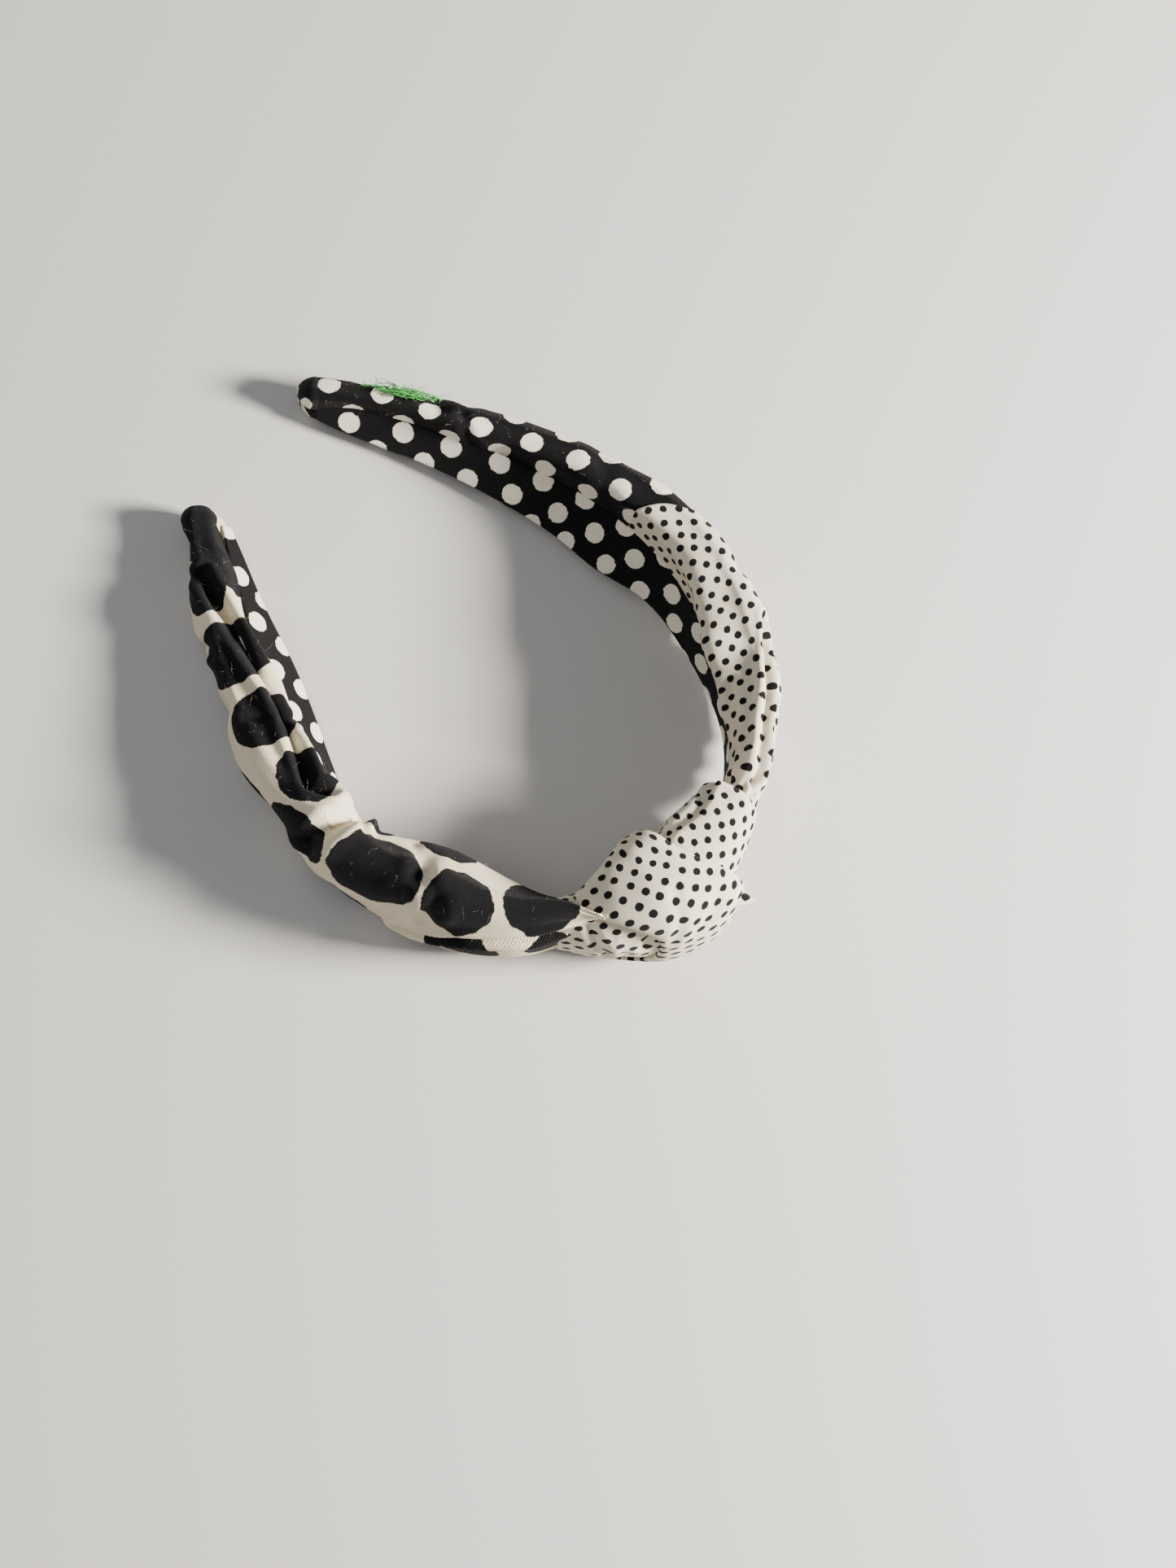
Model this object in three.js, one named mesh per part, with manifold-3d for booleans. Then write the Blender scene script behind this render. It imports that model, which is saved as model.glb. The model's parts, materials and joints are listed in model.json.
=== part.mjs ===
// Knotted fabric headband, lying on its long edge as it does on a table. Millimetres, +Z up.
// +Y runs from the knot at the crown to the two tips, +X to the arm with the dotted dark cover,
// and the origin is the middle of the footprint, on the surface that it lies on.
//
// A springy plastic core, bent to an arch, carries a foam pad on its outside. Printed cloth wraps
// both and is glued down on the inside, where a lining strip hides its raw edges. One more strip of
// cloth is tied round the crown as a knot. Each arm springs outwards about the root of the knot,
// so the strips that bend there are cut at that line, with a small gap.
import * as THREE from 'three';
import { mergeVertices } from 'three/addons/utils/BufferGeometryUtils.js';
import Module from 'manifold-3d';

const wasm = await Module();
wasm.setup();

const DEG = Math.PI / 180;

// The arch of the core: three tangent arcs from the crown to each tip. Further out, each arm is
// twisted so that its upper edge leans outwards. The right arm has been bent open a little more.
const LEFT_ARM = {
  side: -1,
  arcs: [[49.7, 55.7 * DEG], [82.2, 53.8 * DEG], [200, 18 * DEG]],
  lean: 38 * DEG,
  leanFrom: 70,
  leanFull: 150,
};
const RIGHT_ARM = {
  side: 1,
  arcs: [[49.7, 55.7 * DEG], [86.4, 51.2 * DEG], [210, 17 * DEG]],
  lean: 38 * DEG,
  leanFrom: 30,
  leanFull: 110,
};
const TIP_AT = 188;

// Where each arm springs from the knot, as a distance along the arch (left is negative).
const LEFT_ROOT = -40;
const RIGHT_ROOT = 14;

// Band widths are halves, measured across the arch's plane.
const BAND_HALF = 17;
const TIP_HALF = 6.8;
const TAPER_START = 60;
const MOUTH_HALF = 12.5; // where a cover is gathered at the knot
const GATHER_LENGTH = 26;

// How far the padded cover stands proud of the core.
const LEFT_DOME = 14;
const RIGHT_DOME = 8;
const TIP_DOME = 5;
const MOUTH_DOME = 4.4;

const CORE_HALF = 11;
const CORE_TIP_HALF = 4;
const CORE_THICKNESS = 1.6;
const CLOTH = 1.2; // cloth with its glue and seam allowance
const LINING = 0.8;
const GAP = 0.3; // between neighbours that touch
const FLEX_GAP = 0.35; // each side of the line where a strip bends
const SOFT_FLEX_GAP = 1.6; // the same for the padding and the covers, which are thicker

const LIP = -2.6; // inner face of the cover's turned edge
const LIP_WIDTH = 2.4;
const TIP_FOLD = 5; // length of the folded end of each arm

const DARK_SEAM = 84; // where the pin-dot cover meets the dark cover on the right arm

// The knot: a front wrap round the band, a second wrap behind it, and the ends that leave it.
const KNOT_AT = -24;
const WRAP_REACH = 13;
const WRAP_HALF = 22.6;
const WRAP_IN = -13.5;
const WRAP_OUT = 18;
const WRAP_SKEW = 0.6;
const SLEEVE = { half: 17.4, low: -10, high: 11.5 }; // the strap on both sides of the knot, inside the wrap

const STEP = 9; // mm between sections along an arm
const DOME_SIDES = 8;

const lerp = THREE.MathUtils.lerp;
const smooth = (t) => THREE.MathUtils.smoothstep(t, 0, 1);

// Point, outward normal and lean of the arch at a distance from the crown.
function arch(distance) {
  const { side, arcs, lean, leanFrom, leanFull } = distance < 0 ? LEFT_ARM : RIGHT_ARM;
  let left = Math.abs(distance);
  let heading = 0;
  let x = 0;
  let y = 0;
  arcs.forEach(([radius, angle], index) => {
    const last = index === arcs.length - 1;
    const turned = last ? left / radius : Math.min(left / radius, angle);
    x += radius * (Math.sin(heading + turned) - Math.sin(heading));
    y += radius * (Math.cos(heading) - Math.cos(heading + turned));
    heading += turned;
    left -= turned * radius;
  });
  const twist = smooth((Math.abs(distance) - leanFrom) / (leanFull - leanFrom));
  return { x: side * x, y, nx: side * Math.sin(heading), ny: -Math.cos(heading), lean: lean * twist };
}

// A point given along the arch, across the band and out from the core.
function place(distance, across, out) {
  const { x, y, nx, ny, lean } = arch(distance);
  const outwards = out * Math.cos(lean) + across * Math.sin(lean);
  const up = across * Math.cos(lean) - out * Math.sin(lean);
  return new THREE.Vector3(x + outwards * nx, y + outwards * ny, up);
}

function stations(from, to, step = STEP) {
  const count = Math.max(1, Math.round(Math.abs(to - from) / step));
  return Array.from({ length: count + 1 }, (_, i) => lerp(from, to, i / count));
}

// Closed surface from triangles of points, turned so that its faces point out.
function surface(triangles) {
  const volume = triangles.reduce((sum, [a, b, c]) => sum + a.dot(b.clone().cross(c)), 0);
  const points = triangles.flatMap(([a, b, c]) => (volume < 0 ? [a, c, b] : [a, b, c]));
  return new THREE.BufferGeometry().setFromPoints(points);
}

// The skin between rows of points; each row closes on itself.
function skin(rows) {
  const triangles = [];
  for (let i = 0; i + 1 < rows.length; i += 1) {
    rows[i].forEach((a, j) => {
      const k = (j + 1) % rows[i].length;
      triangles.push([a, rows[i][k], rows[i + 1][k]], [a, rows[i + 1][k], rows[i + 1][j]]);
    });
  }
  return triangles;
}

// Solid through a list of sections. section(distance) gives [across, out] points.
function loft(distances, section) {
  const outlines = distances.map(section);
  const rows = outlines.map((outline, i) => outline.map(([w, n]) => place(distances[i], w, n)));
  const cap = (index, flip) => {
    const flat = outlines[index].map(([w, n]) => new THREE.Vector2(w, n));
    return THREE.ShapeUtils.triangulateShape(flat, []).map(([a, b, c]) => {
      const corners = [a, b, c].map((k) => rows[index][k]);
      return flip ? corners.reverse() : corners;
    });
  };
  const clockwise = THREE.ShapeUtils.isClockWise(outlines[0].map(([w, n]) => new THREE.Vector2(w, n)));
  return surface([...skin(rows), ...cap(0, !clockwise), ...cap(rows.length - 1, clockwise)]);
}

// Ring with a wall between an outer and an inner stack of rows.
function ring(outer, inner) {
  return surface(skin([...outer, ...[...inner].reverse(), outer[0]]));
}

const halfEllipse = (across, out, base = 0) =>
  Array.from({ length: DOME_SIDES + 1 }, (_, i) => {
    const turn = (i / DOME_SIDES - 0.5) * Math.PI;
    return [across * Math.sin(turn), base + out * Math.cos(turn)];
  });

// Half width and dome of the padded cover along an arm, gathered where it enters the knot.
function coverSize(distance, root, dome) {
  const along = Math.abs(distance);
  const taper = smooth((along - TAPER_START) / (TIP_AT - TAPER_START));
  const full = smooth((along - Math.abs(root)) / GATHER_LENGTH);
  return {
    half: Math.min(lerp(BAND_HALF, TIP_HALF, taper), lerp(MOUTH_HALF, BAND_HALF, full)),
    dome: Math.min(lerp(dome, TIP_DOME, taper), lerp(MOUTH_DOME, dome, full)),
  };
}

// Cloth folded round the pad and the core, with its edges turned in on the inside.
function coverSection({ half, dome }) {
  const shell = (inset) => [
    [-half + LIP_WIDTH, LIP + inset],
    ...halfEllipse(half - inset, dome - inset),
    [half - LIP_WIDTH, LIP + inset],
  ];
  const lip = (side, depth) => [side * (half - LIP_WIDTH * 2), LIP + depth];
  return [lip(-1, 0), ...shell(0), lip(1, 0), lip(1, CLOTH), ...shell(CLOTH).reverse(), lip(-1, CLOTH)];
}

function padSection({ half, dome }) {
  const base = CORE_THICKNESS / 2 + GAP * 2;
  return halfEllipse((half - CLOTH) * 0.87 - GAP, dome - CLOTH - GAP * 2 - base, base);
}

function strip(half, from, to) {
  return [[-half, from], [half, from], [half, to], [-half, to]];
}

const coreHalf = (distance) => lerp(CORE_HALF, CORE_TIP_HALF, Math.abs(distance) / TIP_AT);
const core = (from, to) =>
  loft(stations(from, to), (s) => strip(coreHalf(s), -CORE_THICKNESS / 2, CORE_THICKNESS / 2));

// The thin lining strip has more points across, so that its two faces stay apart where it twists.
const lining = (from, to, size) =>
  loft(stations(from, to, STEP / 2), (s) => {
    const half = size(s).half - LIP_WIDTH;
    const across = [-1, -0.5, 0, 0.5, 1].map((share) => share * half);
    const face = (depth) => across.map((w) => [w, depth]);
    return [...face(LIP - GAP - LINING), ...face(LIP - GAP).reverse()];
  });

const cover = (from, to, size) => loft(stations(from, to, STEP / 1.5), (s) => coverSection(size(s)));
const pad = (from, to, size) => loft(stations(from, to), (s) => padSection(size(s)));

// The folded end of an arm: the cover's outline, rounded off to a blunt nose.
function tipFold(side, size) {
  const from = side * (TIP_AT - TIP_FOLD + GAP);
  const { half, dome } = size(from);
  const rows = [0, 0.35, 0.65, 0.85, 0.97].map((t) => from + side * t * TIP_FOLD);
  return loft(rows, (s) => {
    const scale = Math.sqrt(1 - ((s - from) / TIP_FOLD) ** 2);
    const middle = (dome + LIP) / 2;
    const outline = [
      ...halfEllipse(half, dome),
      [half - LIP_WIDTH, LIP - GAP - LINING],
      [-half + LIP_WIDTH, LIP - GAP - LINING],
    ];
    return outline.map(([w, n]) => [w * scale, middle + (n - middle) * scale]);
  });
}

// Rounded rectangle as a superellipse, for the knot's wraps.
function superellipse(across, low, high, power, sides = 28) {
  const round = (value) => Math.sign(value) * Math.abs(value) ** (2 / power);
  return Array.from({ length: sides }, (_, i) => {
    const turn = (i / sides) * 2 * Math.PI;
    return [across * round(Math.cos(turn)), (low + high) / 2 + ((high - low) / 2) * round(Math.sin(turn))];
  });
}

// A wrap of cloth round the band: fat in the middle, with rolled edges.
function wrap({ from, to, half, low, high, hole, skew }) {
  const rows = stations(from, to, 5);
  const middle = (from + to) / 2;
  const outline = (s, across, inside, outside, power, gather) =>
    superellipse(across * gather, inside * gather, outside * gather, power).map(([w, n]) =>
      place(s + skew * n, w, n));
  return ring(
    rows.map((s) => {
      const edge = (s - middle) / (to - middle);
      return outline(s, half, low, high, 2.6, 1 - 0.14 * edge * edge);
    }),
    rows.map((s) => outline(s, hole.half, hole.low, hole.high, 5, 1)),
  );
}

// The pointed corner of cloth that sticks out of the knot on its outer side.
function cornerTuck() {
  const shape = new THREE.Shape();
  shape.moveTo(-5, -4);
  shape.quadraticCurveTo(3, -3, 7, 0.5);
  shape.quadraticCurveTo(1, 5, -5, 4);
  shape.closePath();
  const geometry = new THREE.ExtrudeGeometry(shape, {
    depth: 3, bevelThickness: 0.6, bevelSize: 0.6, bevelSegments: 1, curveSegments: 4,
  });
  return geometry;
}

// A tuft of thread ends on the dark cover.
function threadTuft() {
  return new THREE.SphereGeometry(1, 8, 6).scale(4.2, 0.8, 1.6);
}

function material(color, roughness) {
  return new THREE.MeshStandardMaterial({ color, roughness, metalness: 0 });
}
const bigSpotPrint = material(0xd9d2c6, 0.85);
const darkDotPrint = material(0x17171b, 0.85);
const pinDotPrint = material(0xddd8cc, 0.85);
const corePlastic = material(0x202022, 0.45);
const padFoam = material(0xe9e6df, 0.95);
const greenThread = material(0x4fae4c, 0.6);

const headband = new THREE.Group();
const band = new THREE.Group();
headband.add(band);

function add(name, geometry, finish) {
  const mesh = new THREE.Mesh(geometry, finish);
  mesh.name = name;
  band.add(mesh);
  return mesh;
}

// Left arm: big spots.
const leftSize = (s) => coverSize(s, LEFT_ROOT, LEFT_DOME);
const leftEnd = -(TIP_AT - TIP_FOLD);
add('core_left', core(LEFT_ROOT - FLEX_GAP, leftEnd), corePlastic);
add('pad_left', pad(LEFT_ROOT - SOFT_FLEX_GAP, leftEnd, leftSize), padFoam);
add('cover_left', cover(LEFT_ROOT - SOFT_FLEX_GAP, leftEnd, leftSize), bigSpotPrint);
add('lining_left', lining(LEFT_ROOT - FLEX_GAP, leftEnd, leftSize), darkDotPrint);
add('tip_fold_left', tipFold(-1, leftSize), bigSpotPrint);

// Right arm: pin dots next to the knot, then white dots on black.
const rightSize = (s) => coverSize(s, RIGHT_ROOT, RIGHT_DOME);
const rightEnd = TIP_AT - TIP_FOLD;
add('core_right', core(RIGHT_ROOT + FLEX_GAP, rightEnd), corePlastic);
add('pad_right', pad(RIGHT_ROOT + SOFT_FLEX_GAP, rightEnd, rightSize), padFoam);
add('cover_right_pin_dot', cover(RIGHT_ROOT + SOFT_FLEX_GAP, DARK_SEAM - GAP, rightSize), pinDotPrint);
add('cover_right_dark', cover(DARK_SEAM, rightEnd, rightSize), darkDotPrint);
add('lining_right', lining(RIGHT_ROOT + FLEX_GAP, rightEnd, rightSize), darkDotPrint);
add('tip_fold_right', tipFold(1, rightSize), darkDotPrint);

// Crown, inside the knot.
const crownSize = () => ({ half: MOUTH_HALF, dome: MOUTH_DOME + 2 });
const strapEnd = RIGHT_ROOT - SOFT_FLEX_GAP;
const tailEnd = LEFT_ROOT + SOFT_FLEX_GAP;
add('core_crown', core(LEFT_ROOT + FLEX_GAP, RIGHT_ROOT - FLEX_GAP), corePlastic);
add('lining_crown', lining(LEFT_ROOT + FLEX_GAP, RIGHT_ROOT - FLEX_GAP, crownSize), darkDotPrint);
add('pad_crown', pad(tailEnd, strapEnd, crownSize), padFoam);

// The knot: the strap comes in from both sides and its wrap goes round both.
const bandHole = { half: MOUTH_HALF + 0.8, low: LIP - LINING - 1.8, high: MOUTH_DOME + 2 };
add('knot_strap', wrap({
  from: KNOT_AT + GAP / 2, to: strapEnd, ...SLEEVE, high: SLEEVE.high - 2, hole: bandHole, skew: 0,
}), pinDotPrint);
add('knot_tail', wrap({
  from: tailEnd, to: KNOT_AT - GAP / 2, ...SLEEVE, hole: bandHole, skew: 0,
}), pinDotPrint);
add('knot_front_wrap', wrap({
  from: KNOT_AT - WRAP_REACH,
  to: KNOT_AT + WRAP_REACH,
  half: WRAP_HALF,
  low: WRAP_IN,
  high: WRAP_OUT,
  hole: { half: SLEEVE.half + 0.6, low: SLEEVE.low - 0.6, high: SLEEVE.high + 0.6 },
  skew: WRAP_SKEW,
}), pinDotPrint);

const tuck = add('knot_corner_tuck', cornerTuck(), pinDotPrint);
tuck.position.copy(place(3.2, 6, 15.6));
tuck.rotation.set(0, 0, -75 * DEG);

const tuft = add('thread_tuft', threadTuft(), greenThread);
const tuftAt = 158;
const { dome: tuftDome } = rightSize(tuftAt);
tuft.position.copy(place(tuftAt, 4.4, tuftDome + 0.2));
tuft.rotation.z = Math.atan2(arch(tuftAt).ny, arch(tuftAt).nx) + Math.PI / 2;

// The band rests on the knot and on both tips, so it leans down towards the tips.
const REST = 0.7; // how far soft cloth flattens where it rests
const tipMiddle = arch(TIP_AT - TIP_FOLD).y;
band.rotation.x = -Math.asin((WRAP_HALF - TIP_HALF) / tipMiddle);
headband.updateMatrixWorld(true);

const solidBox = (name) => new THREE.Box3().setFromObject(band.getObjectByName(name), true);
const FLATTENED = ['knot_front_wrap', 'tip_fold_left', 'tip_fold_right', 'cover_left', 'cover_right_dark'];
const whole = new THREE.Box3().setFromObject(band, true);
const lowest = Math.max(...FLATTENED.slice(0, 3).map((name) => solidBox(name).min.z));
band.position.set(
  -(whole.min.x + whole.max.x) / 2,
  -(whole.min.y + whole.max.y) / 2,
  -lowest - REST,
);
headband.updateMatrixWorld(true);

// Flatten what reaches below the surface that the band lies on.
function toSolid(mesh) {
  const geometry = mesh.geometry.index ? mesh.geometry.toNonIndexed() : mesh.geometry.clone();
  ['normal', 'uv'].forEach((attribute) => geometry.deleteAttribute(attribute));
  geometry.applyMatrix4(mesh.matrixWorld);
  const merged = mergeVertices(geometry, 1e-4);
  return new wasm.Manifold(new wasm.Mesh({
    numProp: 3,
    vertProperties: merged.attributes.position.array,
    triVerts: new Uint32Array(merged.index.array),
  }));
}

function flatten(name) {
  const mesh = band.getObjectByName(name);
  const depth = 20;
  const table = new THREE.Mesh(new THREE.BoxGeometry(400, 400, depth));
  table.position.z = -depth / 2;
  table.updateMatrixWorld(true);
  const cut = toSolid(mesh).subtract(toSolid(table)).getMesh();
  const geometry = new THREE.BufferGeometry();
  geometry.setAttribute('position', new THREE.BufferAttribute(cut.vertProperties, 3));
  geometry.setIndex(new THREE.BufferAttribute(cut.triVerts, 1));
  geometry.applyMatrix4(mesh.matrixWorld.clone().invert());
  mesh.geometry = geometry;
}
FLATTENED.forEach(flatten);

export default headband;
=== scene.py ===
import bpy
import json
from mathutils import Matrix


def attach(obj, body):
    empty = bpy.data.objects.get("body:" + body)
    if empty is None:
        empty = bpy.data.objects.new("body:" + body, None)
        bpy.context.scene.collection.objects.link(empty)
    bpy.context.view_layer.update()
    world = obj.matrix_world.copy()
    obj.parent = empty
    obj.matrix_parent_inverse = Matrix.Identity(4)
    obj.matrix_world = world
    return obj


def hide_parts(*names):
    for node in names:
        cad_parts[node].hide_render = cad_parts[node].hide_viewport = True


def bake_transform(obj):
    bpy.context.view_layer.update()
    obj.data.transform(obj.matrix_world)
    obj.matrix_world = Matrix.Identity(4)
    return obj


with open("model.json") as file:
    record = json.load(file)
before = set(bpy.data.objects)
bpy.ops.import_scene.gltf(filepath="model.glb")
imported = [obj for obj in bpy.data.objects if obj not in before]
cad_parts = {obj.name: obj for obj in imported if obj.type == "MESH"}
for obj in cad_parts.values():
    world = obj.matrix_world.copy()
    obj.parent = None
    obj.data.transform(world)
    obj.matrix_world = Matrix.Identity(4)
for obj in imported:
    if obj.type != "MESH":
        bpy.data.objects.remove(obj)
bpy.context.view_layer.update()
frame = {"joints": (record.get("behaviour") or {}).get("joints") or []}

import json
import math

import bmesh
import bpy
import numpy as np
from mathutils import Matrix, Vector

# Sizes along, across and out from the band are in mm, and place() turns them into metres in the frame.

# Camera. It looks almost straight down on the table, leaning to the side of the big-spot arm, and is
# rolled so that the loop opens to the upper left and the knot lies at the lower right.
TILT = math.radians(18)  # from straight down
HEADING = math.radians(182.5)
ROLL = math.radians(40)
DISTANCE = 0.599
LENS = 54.08  # mm, on a sensor 36 mm high
aim = Vector((0.0007, -0.0323, 0))
back = Vector((math.sin(TILT) * math.cos(HEADING), math.sin(TILT) * math.sin(HEADING), math.cos(TILT)))
level_up = (Vector((0, 0, 1)) - back * back.z).normalized()
level_right = level_up.cross(back)
right = level_right * math.cos(ROLL) + level_up * math.sin(ROLL)
up = back.cross(right)
camera_data = bpy.data.cameras.new("camera")
camera_data.lens = LENS
camera_data.sensor_width = 36
camera_data.clip_start, camera_data.clip_end = 0.01, 20
camera = bpy.data.objects.new("camera", camera_data)
camera.matrix_world = Matrix((right, up, back)).transposed().to_4x4()
camera.location = aim + back * DISTANCE
bpy.context.scene.collection.objects.link(camera)
bpy.context.scene.camera = camera

# Core. A springy plastic strip, moulded as an arch of three tangent arcs on each side of the crown,
# with its arms twisted so that their upper edges lean outwards. It hides in the padded cover.
# An arm's row gives its arcs' radii in mm and angles in degrees, its lean and where the lean grows.
ARMS = {
    "left": {"radii": (49.7, 82.2, 200), "angles": (55.7, 53.8, 180), "lean": 44, "from": 70, "full": 150},
    "right": {"radii": (49.7, 86.4, 210), "angles": (55.7, 51.2, 180), "lean": 38, "from": 30, "full": 110},
}
TIP = 188  # mm from the middle of the arch to an arm's end
LEFT_ROOT, RIGHT_ROOT = -40, 14
KNOT = -24  # where the two halves of the core meet, under the knot
MM = 0.001


def smooth(t):
    """Runs from 0 to 1 as t does, level at both ends: 3t^2 - 2t^3."""
    t = np.clip(t, 0, 1)
    return t * t * (3 - 2 * t)


def through(*points):
    """A function of distance along an arm: straight lines through (distance, value) points, averaged
    over 12 mm so that its corners are round."""
    at, value = zip(*points)
    return lambda s: np.mean([np.interp(np.abs(s) + step, at, value) for step in (-6, -3, 0, 3, 6)], 0)


def arch(s):
    """Point, outward normal and lean at distance s mm along the arch. Each arc adds
    radius * (sin, 1 - cos) of the angle turned through, from the heading before it."""
    sides = [np.where(s < 0, a, b) for a, b in zip(ARMS["left"]["radii"], ARMS["right"]["radii"])]
    angles = [np.where(s < 0, a, b) for a, b in zip(ARMS["left"]["angles"], ARMS["right"]["angles"])]
    run, heading, x, y = np.abs(s), 0 * s, 0 * s, 0 * s
    for radius, angle in zip(sides, angles):
        turned = np.minimum(run / radius, np.radians(angle))
        x = x + radius * (np.sin(heading + turned) - np.sin(heading))
        y = y + radius * (np.cos(heading) - np.cos(heading + turned))
        heading = heading + turned
        run = run - turned * radius
    left_lean, right_lean = (
        math.radians(arm["lean"]) * smooth((np.abs(s) - arm["from"]) / (arm["full"] - arm["from"]))
        for arm in ARMS.values()
    )
    side = np.where(s < 0, -1, 1)
    return side * x, y, side * np.sin(heading), -np.cos(heading), np.where(s < 0, left_lean, right_lean)


joints = {joint["name"]: joint for joint in frame["joints"]}
left_joint, right_joint = joints["left_arm_flex"], joints["right_arm_flex"]
band_up = np.array(left_joint["axis"], float)
band_along = np.array((0, band_up[2], -band_up[1]))
root_x, root_y = (float(value) for value in arch(np.array(float(LEFT_ROOT)))[:2])
band_origin = np.array(left_joint["pos_m"]) - MM * (root_x * np.array((1, 0, 0)) + root_y * band_along)

# How far the cloth of each arm stands inwards of the arch, in mm.
left_inward = through((98, 0), (115, 1.6), (135, 2.8), (150, 3.4), (192, 3.4))
right_inward = through((30, 0), (60, 0.3), (82, 0.6), (98, 2.6), (130, 2.6), (165, 1.4), (196, 0.8))
TABLE = 0.0007  # lowest height of a surface, in metres: one thickness of cloth over the table


def place(s, across, out):
    """Points in metres at s along the arch, across the band and out from the core, all in mm.
    The section is turned by the lean before it is set on the arch, and rests flat on the table."""
    x, y, nx, ny, lean = arch(s)
    outwards = out * np.cos(lean) + across * np.sin(lean) - np.where(s < 0, left_inward(s), right_inward(s))
    height = across * np.cos(lean) - out * np.sin(lean)
    x, y = x + outwards * nx, y + outwards * ny
    points = band_origin + MM * (x[..., None] * np.array((1, 0, 0)) + y[..., None] * band_along
                                 + height[..., None] * band_up)
    points[..., 2] = np.maximum(points[..., 2], TABLE)
    return points


def new_object(name, points, faces, uv=None):
    """A mesh object from arrays of points, corner indices and corner UVs in mm."""
    mesh = bpy.data.meshes.new(name)
    mesh.from_pydata(points.reshape(-1, 3).tolist(), [], faces)
    if uv is not None:
        mesh.uv_layers.new(name="UVMap").data.foreach_set("uv", np.asarray(uv, np.float32).ravel())
    mesh.shade_smooth()
    piece = bpy.data.objects.new(name, mesh)
    bpy.context.scene.collection.objects.link(piece)
    return piece


def grid(name, points, uv, wrap=False, poles=(False, False)):
    """Quads over rows and columns of points. wrap joins the last column to the first, and a pole
    closes an end row with triangles to its middle."""
    rows, columns = points.shape[:2]
    i, j = np.meshgrid(np.arange(rows - 1), np.arange(columns - 1), indexing="ij")
    corners = [(i, j), (i, j + 1), (i + 1, j + 1), (i + 1, j)]
    width = columns - 1 if wrap else columns
    faces = np.stack([a * width + (b % width if wrap else b) for a, b in corners], -1).reshape(-1, 4).tolist()
    corner_uv = np.stack([uv[a, b] for a, b in corners], -2).reshape(-1, 2)
    points = points[:, :width].reshape(-1, 3)
    for row, pole in zip((0, rows - 1), poles):
        if pole:
            ring = points[row * width:(row + 1) * width]
            ends = np.arange(width)
            nexts = (ends + 1) % width
            middle = np.full(width, len(points))
            order = (nexts, ends) if row == 0 else (ends, nexts)
            faces += np.stack([row * width + order[0], row * width + order[1], middle], -1).tolist()
            points = np.vstack([points, ring.mean(0)])
            uv_middle = uv[row, :width].mean(0) + 0 * uv[row, ends]
            uv_ends = np.stack([uv[row, order[0]], uv[row, order[1]], uv_middle], 1)
            corner_uv = np.vstack([corner_uv, uv_ends.reshape(-1, 2)])
    return new_object(name, points, faces, corner_uv)


class Value:
    """A shader socket in ordinary arithmetic: an expression adds its Math nodes."""

    def __init__(self, finish, socket):
        self.finish, self.socket = finish, socket

    def math(self, operation, other=0.0, turned=False):
        pair = (other, self) if turned else (self, other)
        return self.finish.node("ShaderNodeMath", {"operation": operation}, *pair)

    def __add__(self, other): return self.math("ADD", other)
    def __radd__(self, other): return self.math("ADD", other, True)
    def __sub__(self, other): return self.math("SUBTRACT", other)
    def __rsub__(self, other): return self.math("SUBTRACT", other, True)
    def __mul__(self, other): return self.math("MULTIPLY", other)
    def __rmul__(self, other): return self.math("MULTIPLY", other, True)
    def __truediv__(self, other): return self.math("DIVIDE", other)
    def __rtruediv__(self, other): return self.math("DIVIDE", other, True)

    def least(self, other): return self.math("MINIMUM", other)
    def sine(self): return self.math("SINE")

    def step(self, low, high):
        """0 below low and 1 above high, smooth between; high may be the lower one."""
        settings = {"interpolation_type": "SMOOTHSTEP"}
        return self.finish.node("ShaderNodeMapRange", settings, self, low, high, 0.0, 1.0)


class Finish:
    """A material and the nodes that make it."""

    def __init__(self, name):
        self.material = bpy.data.materials.new(name)
        self.material.use_nodes = True
        self.tree = self.material.node_tree
        self.shader = self.tree.nodes["Principled BSDF"]

    def node(self, kind, settings=None, *values, output=0, **named):
        """Adds a node, sets its settings, then its sockets by place or by name."""
        node = self.tree.nodes.new(kind)
        for key, value in (settings or {}).items():
            setattr(node, key, value)
        for socket, value in [*zip(node.inputs, values), *((node.inputs[key], v) for key, v in named.items())]:
            if isinstance(value, Value):
                self.tree.links.new(value.socket, socket)
            elif value is not None:
                socket.default_value = value
        return Value(self, node.outputs[output])

    def vector(self, operation, *values, output=0):
        return self.node("ShaderNodeVectorMath", {"operation": operation}, *values, output=output)

    def mix(self, mask, first, second):
        """Colour that runs from first to second with the mask."""
        unused = (None,) * 5
        return self.node("ShaderNodeMix", {"data_type": "RGBA"}, mask, *unused, first, second, output=2)

    def noise(self, vector, scale, detail=2.0):
        return self.node("ShaderNodeTexNoise", None, Vector=vector, Scale=scale, Detail=detail)

    def set(self, **values):
        """Sets the shader's sockets; an underscore in a name stands for a space."""
        for key, value in values.items():
            socket = self.shader.inputs[key.replace("_", " ")]
            if isinstance(value, Value):
                self.tree.links.new(value.socket, socket)
            else:
                socket.default_value = value

    def bump(self, height, distance, strength=1.0):
        return self.node("ShaderNodeBump", None, Strength=strength, Distance=distance, Height=height)


def moulded_plastic():
    """Black moulded strip: faint flow marks and a soft gloss."""
    finish = Finish("core_plastic")
    here = finish.node("ShaderNodeTexCoord", output=3)
    marks = finish.noise(here, 900, 4)
    finish.set(Base_Color=finish.mix(marks, (0.010, 0.010, 0.011, 1), (0.022, 0.022, 0.024, 1)),
               Roughness=0.38 + 0.18 * marks, Normal=finish.bump(marks, 0.00004))
    return finish.material


FLEX_BLEND = (-6, 26)  # mm before and past the pivot over which the strips would bend; flex() works this out but does not bend them


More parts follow.
